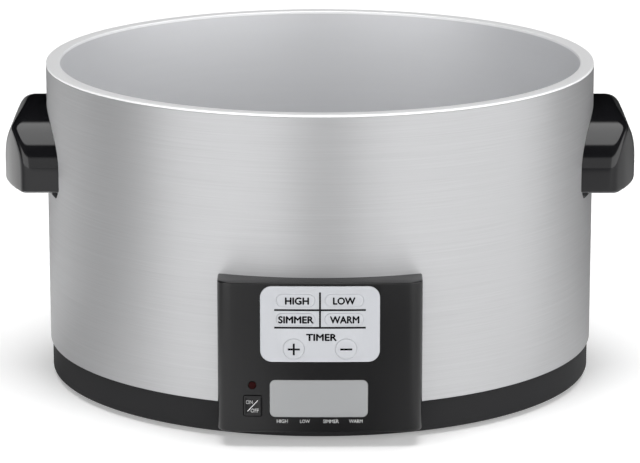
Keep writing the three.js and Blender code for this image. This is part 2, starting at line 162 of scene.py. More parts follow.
# Edge wear: a mask that is 1 on worn outer edges and broken up by noise
def makeEdgeWear():
    tree, given, out = newGroup("edgeWear", {"Edge": 0.54, "Break up": 260.0}, ["Mask"])
    point = node(tree, "ShaderNodeNewGeometry").outputs["Pointiness"]
    noise = noiseNode(tree, objectPlace(tree), Scale=given["Break up"])
    sharp = mathNode(tree, "MULTIPLY", mathNode(tree, "SUBTRACT", point, given["Edge"]), 14.0)
    broken = mathNode(tree, "MULTIPLY", sharp, noise, use_clamp=True)
    tree.links.new(broken, out.inputs["Mask"])
    return tree


# Dust: a thin film on what faces up
def makeDust():
    tree, given, out = newGroup("dust", {"Amount": 0.1}, ["Film"])
    normal = node(tree, "ShaderNodeNewGeometry").outputs["Normal"]
    up = node(tree, "ShaderNodeSeparateXYZ", {0: normal}).outputs["Z"]
    noise = noiseNode(tree, objectPlace(tree), Scale=90.0, Detail=4.0)
    facing = mathNode(tree, "MULTIPLY", up, noise, use_clamp=True)
    tree.links.new(mathNode(tree, "MULTIPLY", facing, given["Amount"]), out.inputs["Film"])
    return tree


brushedGrain = makeBrushedGrain()
mouldedGrain = makeMouldedGrain()
edgeWear = makeEdgeWear()
dust = makeDust()
print("shader groups built")


# Finishes
def startMaterial(name, color, roughness, metallic=0.0, **extra):
    material = bpy.data.materials.new(name)
    material.use_nodes = True
    shader = material.node_tree.nodes["Principled BSDF"]
    shader.inputs["Base Color"].default_value = (*color, 1)
    shader.inputs["Roughness"].default_value = roughness
    shader.inputs["Metallic"].default_value = metallic
    for label, value in extra.items():
        shader.inputs[label].default_value = value
    return material, material.node_tree, shader


def placeGroup(tree, group, **values):
    made = node(tree, "ShaderNodeGroup", node_tree=group)
    for label, value in values.items():
        made.inputs[label.replace("_", " ")].default_value = value
    return made.outputs


def mixColors(tree, factor, first, second):
    tones = [(*tone, 1) if isinstance(tone, tuple) else tone for tone in (first, second)]
    feeds = {0: factor, 6: tones[0], 7: tones[1]}
    return node(tree, "ShaderNodeMix", feeds, data_type="RGBA").outputs[2]


def spread(tree, value, low, high):
    feeds = {"Value": value, "To Min": low, "To Max": high}
    return node(tree, "ShaderNodeMapRange", feeds).outputs["Result"]


def shareBetween(tree, value, low, high):
    feeds = {"Value": value, "From Min": low, "From Max": high}
    return node(tree, "ShaderNodeMapRange", feeds).outputs["Result"]


def addBump(tree, shader, height, distance, strength):
    feeds = {"Distance": distance, "Strength": strength, "Height": height}
    bump = node(tree, "ShaderNodeBump", feeds)
    tree.links.new(bump.outputs["Normal"], shader.inputs["Normal"])


steelFinish = dict(dark=(0.46, 0.462, 0.47), light=(0.59, 0.593, 0.603), roughness=0.52, metal=0.7)
crossSheen = {"Anisotropic": 0.82, "Anisotropic Rotation": 0.25}  # the sheen spreads up and down


def makeBrushedSteel():
    dark, light, rough, metal = steelFinish.values()
    material, tree, shader = startMaterial("brushedSteel", light, rough, metal, **crossSheen)
    grain = placeGroup(tree, brushedGrain, Streak_length=24.0, Line_density=2600.0, Contrast=1.0)
    streaks = grain["Streaks"]
    tree.links.new(mixColors(tree, streaks, dark, light), shader.inputs["Base Color"])
    tree.links.new(spread(tree, streaks, rough - 0.05, rough + 0.06), shader.inputs["Roughness"])
    around = node(tree, "ShaderNodeTangent", direction_type="RADIAL", axis="Z")
    tree.links.new(around.outputs[0], shader.inputs["Tangent"])
    addBump(tree, shader, streaks, distance=0.00002, strength=0.35)
    return material


wellFinish = dict(dark=(0.66, 0.665, 0.68), light=(0.715, 0.72, 0.735), roughness=0.42, metal=0.45)
# the rim's top band: its lighter colour is a painted highlight, its lower roughness a smoother rim
rimHighlightFinish = dict(color=(0.93, 0.932, 0.94), roughness=0.3, metal=0.12, depth=1.05, blend=0.3)


# Spun aluminium, satin in the well; the top band of the rim has a lighter colour as a painted highlight, and
# is smoother
def makeWellAluminium():
    dark, light, rough, metal = wellFinish.values()
    material, tree, shader = startMaterial("wellAluminium", light, rough, metal)
    grain = placeGroup(tree, brushedGrain, Streak_length=14.0, Line_density=420.0, Contrast=0.35)
    streaks = grain["Streaks"]
    height = node(tree, "ShaderNodeSeparateXYZ", {0: objectPlace(tree)}).outputs["Z"]
    start = rimTop - (rimHighlightFinish["depth"] + rimHighlightFinish["blend"]) * mm
    # rim: mask of the rim's top band, which is painted lighter as a highlight
    rim = shareBetween(tree, height, start, rimTop - rimHighlightFinish["depth"] * mm)
    satin = mixColors(tree, streaks, dark, light)
    tree.links.new(mixColors(tree, rim, satin, rimHighlightFinish["color"]), shader.inputs["Base Color"])
    tree.links.new(spread(tree, rim, metal, rimHighlightFinish["metal"]), shader.inputs["Metallic"])
    smoother = spread(tree, rim, rough, rimHighlightFinish["roughness"])
    uneven = spread(tree, streaks, -0.03, 0.04)
    tree.links.new(mathNode(tree, "ADD", smoother, uneven), shader.inputs["Roughness"])
    addBump(tree, shader, streaks, distance=0.00001, strength=0.2)
    return material


dustColor = (0.6, 0.58, 0.55)


# Plastic: grained, slightly uneven, paler along worn edges and under a thin film of dust
def makePlastic(name, color, roughness, grain=0.00001, wear=0.25, film=0.02, sheen=0.5):
    material, tree, shader = startMaterial(name, color, roughness)
    shader.inputs["Specular IOR Level"].default_value = sheen
    moulded = placeGroup(tree, mouldedGrain)
    edge = placeGroup(tree, edgeWear)["Mask"]
    dusty = placeGroup(tree, dust, Amount=film)["Film"]
    paler = tuple(min(1.0, part * (1 + wear) + 0.012 * wear) for part in color)
    worn = mixColors(tree, edge, color, paler)
    tree.links.new(mixColors(tree, dusty, worn, dustColor), shader.inputs["Base Color"])
    uneven = spread(tree, moulded["Clouds"], roughness * 0.88, roughness * 1.14)
    tree.links.new(mathNode(tree, "ADD", uneven, dusty), shader.inputs["Roughness"])
    addBump(tree, shader, moulded["Grain"], distance=grain, strength=0.25)
    return material


zincTones = ((0.48, 0.49, 0.5), (0.7, 0.71, 0.72))


def makeZinc():
    material, tree, shader = startMaterial("zincSteel", (0.6, 0.61, 0.62), 0.35, 1.0)
    moulded = placeGroup(tree, mouldedGrain, Grain_size=900.0, Cloud_size=140.0)
    tree.links.new(mixColors(tree, moulded["Clouds"], *zincTones), shader.inputs["Base Color"])
    tree.links.new(spread(tree, moulded["Clouds"], 0.26, 0.46), shader.inputs["Roughness"])
    addBump(tree, shader, moulded["Grain"], distance=0.00002, strength=0.3)
    return material


dullSheen = 0.05  # for what hardly shines: the ink, the lamp and the base pan
finishes = {
    "brushed_wrap": makeBrushedSteel(),
    "well": makeWellAluminium(),
    "black_satin": makePlastic("blackSatin", (0.0045, 0.0045, 0.005), 0.25, 0.00002, film=0.003, sheen=0.38),
    "black_gloss": makePlastic("blackGloss", (0.006, 0.006, 0.007), 0.09, 0.000002, film=0.002, sheen=0.42),
    "silver_plastic": makePlastic("silverLacquer", (0.47, 0.48, 0.505), 0.36),
    "lens": makePlastic("displayPane", (0.3, 0.305, 0.31), 0.22, wear=0.1),
    "led_red": makePlastic("lampRed", (0.018, 0.003, 0.003), 0.16, film=0.0, sheen=dullSheen),
    "rubber_foot": makePlastic("footRubber", (0.02, 0.02, 0.02), 0.75, 0.00006, film=0.06),
    "zinc_steel": makeZinc(),
    "circuit_board": makePlastic("boardGreen", (0.015, 0.09, 0.035), 0.4),
    "component": makePlastic("componentBlack", (0.03, 0.03, 0.033), 0.5),
    "mica": makePlastic("micaSheet", (0.42, 0.37, 0.28), 0.5, 0.00005),
    "lead_cover": makePlastic("leadCover", (0.62, 0.59, 0.52), 0.6, 0.00006),
}
panBlack = makePlastic("panBlack", (0.024, 0.024, 0.025), 0.55, 0.00002, film=0.008, sheen=dullSheen)
inkBlack = makePlastic("inkBlack", (0.004, 0.004, 0.005), 0.5, film=0.0, sheen=dullSheen)
inkWhite = makePlastic("inkWhite", (0.8, 0.8, 0.8), 0.5, film=0.0)

slotOf = {part["node"]: part["material_slot"] for part in frame["record"]["subparts"]}
for name, cadNode in nodes.items():
    cadNode.data.materials.clear()
    cadNode.data.materials.append(finishes[slotOf[name]])
print("finishes made:", len(finishes))


# Makers that every piece uses
def inMetres(**sizes):
    return {key: value * mm for key, value in sizes.items()}


def roundedPath(corners, steps=5):
    # corners are (x, y, radius); each becomes an arc that meets both its sides
    path = []
    count = len(corners)
    for i, (x, y, radius) in enumerate(corners):
        here = Vector((x, y))
        if radius <= 0:
            path.append((x, y))
            continue
        before = (Vector(corners[i - 1][:2]) - here).normalized()
        after = (Vector(corners[(i + 1) % count][:2]) - here).normalized()
        half = math.acos(max(-1, min(1, before.dot(after)))) / 2
        centre = here + (before + after).normalized() * (radius / math.sin(half))
        start = here + before * (radius / math.tan(half)) - centre
        end = here + after * (radius / math.tan(half)) - centre
        turn = math.atan2(start.x * end.y - start.y * end.x, start.dot(end))
        for step in range(steps + 1):
            angle = turn * step / steps
            spun = Matrix.Rotation(angle, 2) @ start
            path.append((centre.x + spun.x, centre.y + spun.y))
    return path


def finishPiece(name, mesh, slot, body, replaces=(), material=None, sharp=32):
    mesh.materials.clear()
    mesh.materials.append(material or finishes[slot])
    mesh.shade_smooth()
    mesh.set_sharp_from_angle(angle=math.radians(sharp))
    piece = addObject(name, mesh)
    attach(piece, body)
    if replaces:
        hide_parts(*replaces)
    return piece


def meshOf(name, vertices, faces):
    mesh = bpy.data.meshes.new(name)
    mesh.from_pydata([tuple(v) for v in vertices], [], faces)
    form = bmesh.new()
    form.from_mesh(mesh)
    bmesh.ops.remove_doubles(form, verts=form.verts, dist=1e-7)
    bmesh.ops.recalc_face_normals(form, faces=form.faces)
    form.to_mesh(mesh)
    form.free()
    mesh.validate()
    return mesh


# Turns a closed outline of (radius, height) round the body's axis
def lathe(name, outline, segments, centre=None, closed=True):
    centreX, centreY = centre or (0.0, axisY)
    count = len(outline)
    vertices = []
    for s in range(segments):
        angle = 2 * math.pi * s / segments
        for radius, height in outline:
            x, y = radius * math.sin(angle), -radius * math.cos(angle)
            vertices.append((centreX + x, centreY + y, height))
    faces = []
    span = count if closed else count - 1
    for s in range(segments):
        here, there = s * count, ((s + 1) % segments) * count
        for i in range(span):
            j = (i + 1) % count
            faces.append((here + i, here + j, there + j, there + i))
    if not closed:
        faces.append([s * count for s in range(segments)])
        faces.append([s * count + count - 1 for s in reversed(range(segments))])
    return meshOf(name, vertices, faces)


# A plain upright cylinder, to cut with or to join on
def rod(radius, low, high, segments, centre=None):
    return lathe("rod", [(radius, low), (radius, high)], segments, centre, closed=False)


# Bridges a stack of equal loops and caps both ends
def stackLoops(name, loops):
    count = len(loops[0])
    vertices = [point for loop in loops for point in loop]
    faces = []
    for level in range(len(loops) - 1):
        low, high = level * count, (level + 1) * count
        for i in range(count):
            j = (i + 1) % count
            faces.append((low + i, low + j, high + j, high + i))
    faces.append(list(reversed(range(count))))
    faces.append([(len(loops) - 1) * count + i for i in range(count)])
    return meshOf(name, vertices, faces)


# The mesh an object has once its modifiers have run; the object itself goes
def takeMesh(holder, name):
    evaluated = holder.evaluated_get(bpy.context.evaluated_depsgraph_get())
    mesh = bpy.data.meshes.new_from_object(evaluated)
    bpy.data.objects.remove(holder)
    mesh.name = name
    return mesh


def booleanMesh(mesh, cutters, operation="DIFFERENCE"):
    base = addObject("work", mesh)
    tools = [addObject("cutter", cutter) for cutter in cutters]
    for tool in tools:
        change = base.modifiers.new("cut", "BOOLEAN")
        change.operation = operation
        change.object = tool
        change.solver = "EXACT"
    result = takeMesh(base, mesh.name)
    for tool in tools:
        bpy.data.objects.remove(tool)
    return result


# The body: steel wrap, pot well and moulded base
wrapShape = inMetres(wall=0.8, edge=0.25, rise=0.22, notchHalf=38, notchTop=71)


def makeWrap():
    size = wrapShape
    low, high, outer = wrapLow.z, wrapHigh.z + size["rise"], wrapRadius
    inner, edge, notch = outer - size["wall"], size["edge"], size["notchHalf"]
    outline = roundedPath([(inner, low, 0), (outer, low, edge), (outer, high, edge), (inner, high, 0)], 4)
    mesh = lathe("wrap", outline, 360)
    cutters = [boxMesh((-notch, -1, -1), (notch, 0, size["notchTop"])), *screwHoleCutters()]
    finishPiece("wrap", booleanMesh(mesh, cutters), "brushed_wrap", "base", ["outer_wrap"])


def boxMesh(low, high):
    vertices = [(x, y, z) for x in (low[0], high[0]) for y in (low[1], high[1]) for z in (low[2], high[2])]
    faces = [(0, 1, 3, 2), (4, 6, 7, 5), (0, 4, 5, 1), (2, 3, 7, 6), (0, 2, 6, 4), (1, 5, 7, 3)]
    return meshOf("block", vertices, faces)


screwHole = inMetres(radius=2.2, start=118, end=136)


def screwHoleCutters():
    cutters = []
    for i in range(4):
        low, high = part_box(f"handle_screw_{i + 1}")
        middle = (low + high) / 2
        turn = math.atan2(middle.y - axisY, middle.x)
        hole = rod(*screwHole.values(), 24, (0, 0))
        hole.transform(Matrix.Rotation(math.pi / 2, 4, "Y"))
        hole.transform(Matrix.Rotation(turn, 4, "Z"))
        hole.transform(Matrix.Translation((0, axisY, middle.z)))
        cutters.append(hole)
    return cutters


wellShape = inMetres(wall=1, rim=6.3, corner=12, rimEdge=0.5, rimThick=1)


def makeWell():
    size = wellShape
    low, top, reach = linerLow.z, rimTop, rimRadius
    inner = reach - size["rim"]
    outer = inner + size["wall"]
    floor, under = low + size["wall"], top - size["rimThick"]
    outline = roundedPath([
        (0, low, 0), (outer, low, size["corner"] + size["wall"]), (outer, under, 0.3 * mm),
        (reach, under, 0.2 * mm), (reach, top, size["rimEdge"]), (inner, top, size["rimEdge"]),
        (inner, floor, size["corner"]), (0, floor, 0),
    ], 10)
    finishPiece("well", lathe("well", outline, 360), "well", "base", ["liner"])


panShape = inMetres(wall=2.4, edge=1, floor=4, thickness=2, lip=4, skirt=4, bore=3.2, boss=8)
footPost = inMetres(radius=4.5, top=14, hole=2.2, holeTop=12.5)
boardPost = inMetres(radius=3, top=9.7)
glandHole = inMetres(radius=4.1, start=110, end=140, height=11)


def makeBasePan():
    size = panShape
    low, bossTop, bossUnder = panLow.z, panHigh.z, panHigh.z - 3 * mm
    lipTop, ringTop = wrapLow.z + size["lip"], wrapLow.z - 0.1 * mm
    inside, skirt, lip = ringRadius - size["wall"], ringRadius - size["skirt"], ringRadius - 0.2 * mm
    floor, bore, boss = size["floor"], size["bore"], size["boss"]
    floorTop = floor + size["thickness"]
    outline = roundedPath([
        (bore, bossUnder, 0), (boss, bossUnder, 0), (boss, floor, 0.5 * mm), (skirt, floor, 0.5 * mm),
        (skirt, low, 0.6 * mm), (ringRadius, low, size["edge"]), (ringRadius, ringTop, 0.4 * mm),
        (lip, ringTop, 0), (lip, lipTop, 0.3 * mm), (inside, lipTop, 0), (inside, floorTop, 0.8 * mm),
        (10 * mm, floorTop, 0.8 * mm), (10 * mm, bossTop, 0.5 * mm), (bore, bossTop, 0),
    ], 5)
    mesh = lathe("pan", outline, 360)
    posts = []
    for shape, places in ((footPost, footPlaces()), (boardPost, boardPlaces())):
        posts += [rod(shape["radius"], floorTop - 1 * mm, shape["top"], 40, place) for place in places]
    mesh = booleanMesh(mesh, posts, "UNION")
    holes = [rod(footPost["hole"], -1 * mm, footPost["holeTop"], 24, place) for place in footPlaces()]
    gland = rod(glandHole["radius"], glandHole["start"], glandHole["end"], 40, (0, 0))
    place = Matrix.Translation((0, axisY, glandHole["height"]))
    gland.transform(place @ Matrix.Rotation(-math.pi / 2, 4, "X"))
    mesh = booleanMesh(mesh, [*holes, gland, makeVentCutters()])
    finishPiece("basePan", mesh, "black_satin", "base", ["base_pan"], material=panBlack)


def footPlaces():
    places = []
    for i in range(4):
        low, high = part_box(f"foot_{i + 1}")
        places.append(((low.x + high.x) / 2, (low.y + high.y) / 2))
    return places


def boardPlaces():
    low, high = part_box("power_board")
    inset = 5 * mm
    xs, ys = (low.x + 6 * mm, high.x - 6 * mm), (low.y + inset, high.y - inset)
    return [(x, y) for x in xs for y in ys]


# Geometry Nodes: copies one shape evenly round a circle
ringInputs = {"Geometry": "Geometry", "Count": "Int", "Radius": "Float", "First angle": "Float",
              "Centre": "Vector", "Material": "Material"}


def ringTree(name):
    tree = bpy.data.node_groups.new(name, "GeometryNodeTree")
    for label, kind in ringInputs.items():
        tree.interface.new_socket(label, in_out="INPUT", socket_type="NodeSocket" + kind)
    tree.interface.new_socket("Geometry", in_out="OUTPUT", socket_type="NodeSocketGeometry")
    given, out = tree.nodes.new("NodeGroupInput").outputs, tree.nodes.new("NodeGroupOutput")
    feeds = {"Count": given["Count"], "Offset": (0, 0, 0)}
    line = node(tree, "GeometryNodeMeshLine", feeds, mode="OFFSET").outputs[0]
    index = node(tree, "GeometryNodeInputIndex").outputs[0]
    step = mathNode(tree, "DIVIDE", 2 * math.pi, given["Count"])
    angle = mathNode(tree, "ADD", mathNode(tree, "MULTIPLY", index, step), given["First angle"])
    across, deep = [mathNode(tree, "MULTIPLY", mathNode(tree, wave, angle), given["Radius"])
                    for wave in ("COSINE", "SINE")]
    place = node(tree, "ShaderNodeCombineXYZ", {"X": across, "Y": deep}).outputs[0]
    centred = vectorNode(tree, "ADD", place, given["Centre"])
    points = node(tree, "GeometryNodeSetPosition", {"Geometry": line, "Position": centred})
    turn = node(tree, "ShaderNodeCombineXYZ", {"Z": angle}).outputs[0]
    spin = node(tree, "FunctionNodeEulerToRotation", {0: turn}).outputs[0]
    feeds = {"Points": points.outputs[0], "Instance": given["Geometry"], "Rotation": spin}
    copies = node(tree, "GeometryNodeInstanceOnPoints", feeds).outputs[0]
    real = node(tree, "GeometryNodeRealizeInstances", {0: copies}).outputs[0]
    feeds = {"Geometry": real, "Material": given["Material"]}
    tree.links.new(node(tree, "GeometryNodeSetMaterial", feeds).outputs[0], out.inputs[0])
    return tree


copiesRound = ringTree("copiesRound")


def copyRound(name, mesh, count, radius, firstAngle, slot):
    source = addObject(name, mesh)
    change = source.modifiers.new("copiesRound", "NODES")
    change.node_group = copiesRound
    values = {"Count": count, "Radius": radius, "First angle": firstAngle, "Centre": (0, axisY, 0),
              "Material": finishes[slot]}
    for item in copiesRound.interface.items_tree:
        if item.in_out == "INPUT" and item.name in values:
            change[item.identifier] = values[item.name]
    return takeMesh(source, name)


ventShape = dict(count=8, start=44, end=76, width=3, cutTop=8)


def makeVentCutters():
    half = ventShape["width"] * mm / 2
    reach = (ventShape["end"] - ventShape["start"]) * mm / 2
    middle = (ventShape["end"] + ventShape["start"]) * mm / 2
    corners = [(-reach, -half, half), (reach, -half, half), (reach, half, half), (-reach, half, half)]
    loop = roundedPath(corners, 6)
    slot = stackLoops("slot", [[(x, y, z) for x, y in loop] for z in (0, ventShape["cutTop"] * mm)])
    halfStep = math.pi / ventShape["count"]
    return copyRound("vents", slot, ventShape["count"], middle, halfStep, "black_satin")


footShape = inMetres(recess=4.2, recessDepth=2.1, edge=0.9, hole=2.2)
screwShape = inMetres(head=3.7, headThick=1.2, shank=1.9, arm=2, crossHalf=0.35, crossDepth=0.8)


def makeFeet():
    low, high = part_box("foot_1")
    reach, top = (high.x - low.x) / 2, high.z
    recess, depth, edge, hole = footShape.values()
    outline = roundedPath([
        (hole, depth, 0), (recess, depth, 0.3 * mm), (recess, 0, 0.4 * mm), (reach, 0, edge),
        (reach, top, 0.3 * mm), (hole, top, 0),
    ], 4)
    pad = lathe("foot", outline, 56, (0, 0))
    circle = math.hypot(footPlaces()[0][0], footPlaces()[0][1] - axisY)
    feet = copyRound("feet", pad, 4, circle, math.pi / 4, "rubber_foot")
    finishPiece("feet", feet, "rubber_foot", "base", [f"foot_{i + 1}" for i in range(4)])
    screwLow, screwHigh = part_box("foot_screw_1")
    start, end = screwLow.z, screwHigh.z
    head, headThick, shank, arm, half, deep = screwShape.values()
    outline = roundedPath([
        (0, start, 0), (head, start, 0.5 * mm), (head, start + headThick, 0),
        (shank, start + headThick, 0), (shank, end, 0.8 * mm), (0, end, 0),
    ], 4)
    cross = [boxMesh((-x, -y, 0), (x, y, start + deep)) for x, y in ((arm, half), (half, arm))]
    screw = booleanMesh(lathe("screw", outline, 40, (0, 0)), cross)
    screws = copyRound("footScrews", screw, 4, circle, math.pi / 4, "zinc_steel")
    finishPiece("footScrews", screws, "zinc_steel", "base", [f"foot_screw_{i + 1}" for i in range(4)])


makeWrap()
makeWell()
makeBasePan()
makeFeet()
print("body, well, base and feet built")


# The control panel. Its front face is bowed: depth is measured back from that face
def faceDepth(x, depth):
    return faceY + depth + x * x / (2 * faceBow)


def plateLoop(width, height, corner, inset, arcSteps=8, sideSteps=12):
    # top edge from left to right, then the bottom edge back, in matching pairs
    halfWidth, halfHeight = width / 2 - inset, height / 2 - inset
    radius = max(corner - inset, 0.02 * mm)
    straight = halfWidth - radius
    top = []
    for step in range(arcSteps + 1):
        angle = math.pi - math.pi / 2 * step / arcSteps
        top.append((-straight + radius * math.cos(angle), halfHeight - radius + radius * math.sin(angle)))
    for step in range(1, sideSteps):
        top.append((-straight + 2 * straight * step / sideSteps, halfHeight))
    top += [(-x, z) for x, z in reversed(top[: arcSteps + 1])]
    return top + [(x, -z) for x, z in reversed(top)]


# A plate on the bowed face: layers are (inset, depth) in millimetres, from the back to the front
def bowedPlate(name, size, centre, layers):
    width, height, corner = size
    vertices, faces = [], []
    for inset, depth in layers:
        for x, z in plateLoop(width, height, corner, inset * mm):
            across = x + centre[0]
            vertices.append((across, faceDepth(across, depth * mm), z + centre[1]))
    count = len(vertices) // len(layers)
    for level in range(len(layers) - 1):
        low, high = level * count, (level + 1) * count
        for i in range(count):
            j = (i + 1) % count
            faces.append((low + i, high + i, high + j, low + j))
    last = (len(layers) - 1) * count
    for i in range(count // 2 - 1):
        j = count - 1 - i
        faces.append((i, i + 1, j - 1, j))
        faces.append((last + i, last + j, last + j - 1, last + i + 1))
    return meshOf(name, vertices, faces)


def plateOf(nodeName, corner):
    low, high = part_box(nodeName)
    return (high.x - low.x, high.z - low.z, corner * mm), ((low.x + high.x) / 2, (low.z + high.z) / 2)


keyCorners = dict(key_high=2.7, key_low=2.7, key_simmer=2.7, key_warm=2.7, key_plus=4.6, key_minus=4.6,
                  power_button=0.8)
keyShape = dict(flange=0.9, flangeThick=0.8, flangeDepth=2.3, gap=0.06)


def keyOutline(name):
    # the CAD box takes in the flange behind the wall
    size, centre = plateOf(name, keyCorners[name])
    flange = 2 * keyShape["flange"] * mm
    return (size[0] - flange, size[1] - flange, size[2]), centre


def holeCutter(size, centre, grow):
    width, height, corner = size
    grow = grow * mm
    loop = plateLoop(width + 2 * grow, height + 2 * grow, corner + grow, 0, 10)
    points = [(x + centre[0], z + centre[1]) for x, z in loop]
    return stackLoops("hole", [[(x, y, z) for x, z in points] for y in (faceY - 0.01, faceY + 0.02)])


panelShape = dict(corner=6, wall=2, side=2.2, edge=0.9, recess=0.8, displayCorner=2.4, plateCorner=5)
panelGaps = dict(body=0.08, key=0.3, display=0.12, lamp=0.25)
panelBack = axisY - 0.11  # well inside the wrap, which trims the housing


def panelPlan(inset, frontInset, back):
    half = housingHigh.x - inset
    corner = panelShape["corner"] * mm - inset
    bow = (half - corner) ** 2 / (2 * faceBow)
    cornerY = faceY + frontInset + bow + corner
    points = []
    for step in range(33):
        x = (half - corner) * (step / 16 - 1)
        points.append((x, faceDepth(x, frontInset)))
    slope = math.atan2(half - corner, faceBow)
    arc = [slope + (math.pi / 2 - slope) * step / 12 for step in range(1, 13)]
    right = [(half - corner + corner * math.sin(a), cornerY - corner * math.cos(a)) for a in arc]
    left = [(-x, y) for x, y in reversed(right)]
    return [*points, *right, (half, back), (-half, back), *left]


def makeHousing():
    low, high = housingLow.z, housingHigh.z
    loops = []
    for inset, height in softEdge(low, high, panelShape["edge"] * mm):
        loops.append([(x, y, height) for x, y in panelPlan(inset, inset, panelBack)])
    mesh = stackLoops("controlHousing", loops)
    wall, side = panelShape["wall"] * mm, panelShape["side"] * mm
    plan = panelPlan(side, wall, panelBack + 0.02)
    inner = [[(x, y, z) for x, y in plan] for z in (low + side, high - side)]
    clear = panelGaps["body"] * mm
    body = rod(wrapRadius + clear, wrapLow.z - 0.2 * mm, 0.2, 360)
    ring = rod(ringRadius + clear, -0.01, 0.03, 360)
    plate, plateCentre = plateOf("keypad_plate", panelShape["plateCorner"])
    recessSize = (plate[0] + 0.2 * mm, plate[1] + 0.2 * mm, plate[2] + 0.1 * mm)
    recess = bowedPlate("recess", recessSize, plateCentre, [(0, panelShape["recess"]), (0, -2)])
    cutters = [stackLoops("inside", inner), body, ring, recess]
    for name in keyCorners:
        cutters.append(holeCutter(*keyOutline(name), panelGaps["key"]))
    cutters.append(holeCutter(*displayOutline(), panelGaps["display"]))
    lampLow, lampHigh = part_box("indicator_led")
    lampSize = lampHigh.x - lampLow.x
    lampCentre = ((lampLow.x + lampHigh.x) / 2, (lampLow.z + lampHigh.z) / 2)
    cutters.append(holeCutter((lampSize, lampSize, lampSize / 2), lampCentre, panelGaps["lamp"]))
    finishPiece("controlHousing", booleanMesh(mesh, cutters), "black_satin", "base", ["control_housing"])


def softEdge(low, high, edge):
    steps = [(1 - math.sin(a), 1 - math.cos(a)) for a in (math.pi / 8 * i for i in range(5))]
    bottom = [(edge * inset, low + edge * rise) for inset, rise in steps]
    return bottom + [(inset, low + high - height) for inset, height in reversed(bottom)]


def displayOutline():
    size, centre = plateOf("display_window", panelShape["displayCorner"])
    return (size[0] - 2 * mm, size[1] - 2 * mm, size[2]), centre


# Profiles of the plates, as layers: a soft crown in front and plain sides behind
plateCrown = [(0.2, 0.5), (0, 0.3), (0, -0.1), (0.06, -0.27), (0.2, -0.41), (0.42, -0.48), (0.75, -0.5),
              (2, -0.5)]
keyCrown = [(0, 2.4), (0, -0.5), (0.07, -0.68), (0.22, -0.82), (0.5, -0.92), (0.9, -0.98), (1.5, -1.02),
            (2.1, -1.05)]
buttonCrown = [(0, 2.4), (0, -0.2), (0.08, -0.34), (0.25, -0.42), (0.5, -0.45), (0.8, -0.45), (1.1, -0.3),
               (2.4, -0.28)]
paneCrown = [(0, 2.5), (0, 0.32), (0.08, 0.2), (0.25, 0.15), (2, 0.15)]
stemShape = inMetres(radius=1.5, start=2.5, end=5.7)


def makeKeypad():
    size, centre = plateOf("keypad_plate", panelShape["plateCorner"])
    mesh = bowedPlate("keypadPlate", size, centre, plateCrown)
    names = [name for name in keyCorners if name != "power_button"]
    cutters = [holeCutter(*keyOutline(name), keyShape["gap"]) for name in names]
    finishPiece("keypadPlate", booleanMesh(mesh, cutters), "silver_plastic", "base", ["keypad_plate"])


def makeKey(name):
    size, centre = keyOutline(name)
    isButton = name == "power_button"
    cap = bowedPlate("cap", size, centre, buttonCrown if isButton else keyCrown)
    flange, depth = keyShape["flange"] * mm, keyShape["flangeDepth"]
    wide = (size[0] + 2 * flange, size[1] + 2 * flange, size[2] + flange)
    collar = bowedPlate("flange", wide, centre, [(0, depth + keyShape["flangeThick"]), (0, depth)])
    stem = rod(*stemShape.values(), 32, (0, 0))
    place = Matrix.Translation((centre[0], faceY, centre[1]))
    stem.transform(place @ Matrix.Rotation(-math.pi / 2, 4, "X"))
    slot = "black_satin" if isButton else "silver_plastic"
    mesh = booleanMesh(cap, [collar, stem], "UNION")
    finishPiece(name.replace("_", ""), mesh, slot, name, [name])


def makeDisplay():
    size, centre = displayOutline()
    pane = bowedPlate("pane", size, centre, paneCrown)
    wide = (size[0] + 2 * mm, size[1] + 2 * mm, size[2] + mm)
    collar = bowedPlate("paneFlange", wide, centre, [(0, 3.1), (0, 2.3)])
    mesh = booleanMesh(pane, [collar], "UNION")
    finishPiece("displayPane", mesh, "lens", "base", ["display_window"])


def makeLamp():
    low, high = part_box("indicator_led")
    reach = (high.x - low.x) / 2
    length = high.y - low.y
    dome = roundedPath([
        (0, length, 0), (reach, length, 0.55 * mm), (reach, 0.7 * mm, 0), (1.1 * mm, 0.2 * mm, 0), (0, 0, 0),
    ], 8)
    mesh = lathe("lamp", dome, 48, (0, 0))
    place = Matrix.Translation(((low.x + high.x) / 2, high.y, (low.z + high.z) / 2))
    mesh.transform(place @ Matrix.Rotation(math.pi / 2, 4, "X"))
    finishPiece("lamp", mesh, "led_red", "base", ["indicator_led"])


makeHousing()
makeKeypad()
for keyName in keyCorners:
    makeKey(keyName)
makeDisplay()
makeLamp()
print("control panel built")


# Printing: a flat mesh in XY becomes thin raised ink that follows the bowed face
inkThick = 0.06


def placeInk(name, mesh, centre, depth, body, ink):
    for vertex in mesh.vertices:
        across = vertex.co.x + centre[0]
        back = 0 if vertex.co.z > 0 else inkThick * mm
        vertex.co = (across, faceDepth(across, depth * mm + back), vertex.co.y + centre[1])
    slot = "component" if ink is inkBlack else "silver_plastic"
    finishPiece(name, mesh, slot, body, material=ink)


def printWord(name, word, centre, width, height, depth, body, ink, weight):
    curve = bpy.data.curves.new(name, "FONT")
    curve.body = word
    curve.align_x = "CENTER"
    curve.align_y = "CENTER"
    curve.extrude = 0.01
    curve.resolution_u = 3
    mesh = takeMesh(addObject(name, curve), name)
    thicken(mesh, weight)
    corners = np.array([vertex.co for vertex in mesh.vertices])
    low, high = corners.min(0), corners.max(0)
    scale = Matrix.Diagonal((width * mm / (high[0] - low[0]), height * mm / (high[1] - low[1]), 1, 1))
    mesh.transform(scale @ Matrix.Translation((-(low[0] + high[0]) / 2, -(low[1] + high[1]) / 2, 0)))
    placeInk(name, mesh, centre, depth, body, ink)


# Heavier strokes: copies of the letters side by side
def thicken(mesh, weight):
    form = bmesh.new()
    for across, up in ((-weight, 0), (weight, 0), (0, weight), (0, -weight)):
        mesh.transform(Matrix.Translation((across, up, 0)))
        form.from_mesh(mesh)
        mesh.transform(Matrix.Translation((-across, -up, 0)))
    form.to_mesh(mesh)
    form.free()


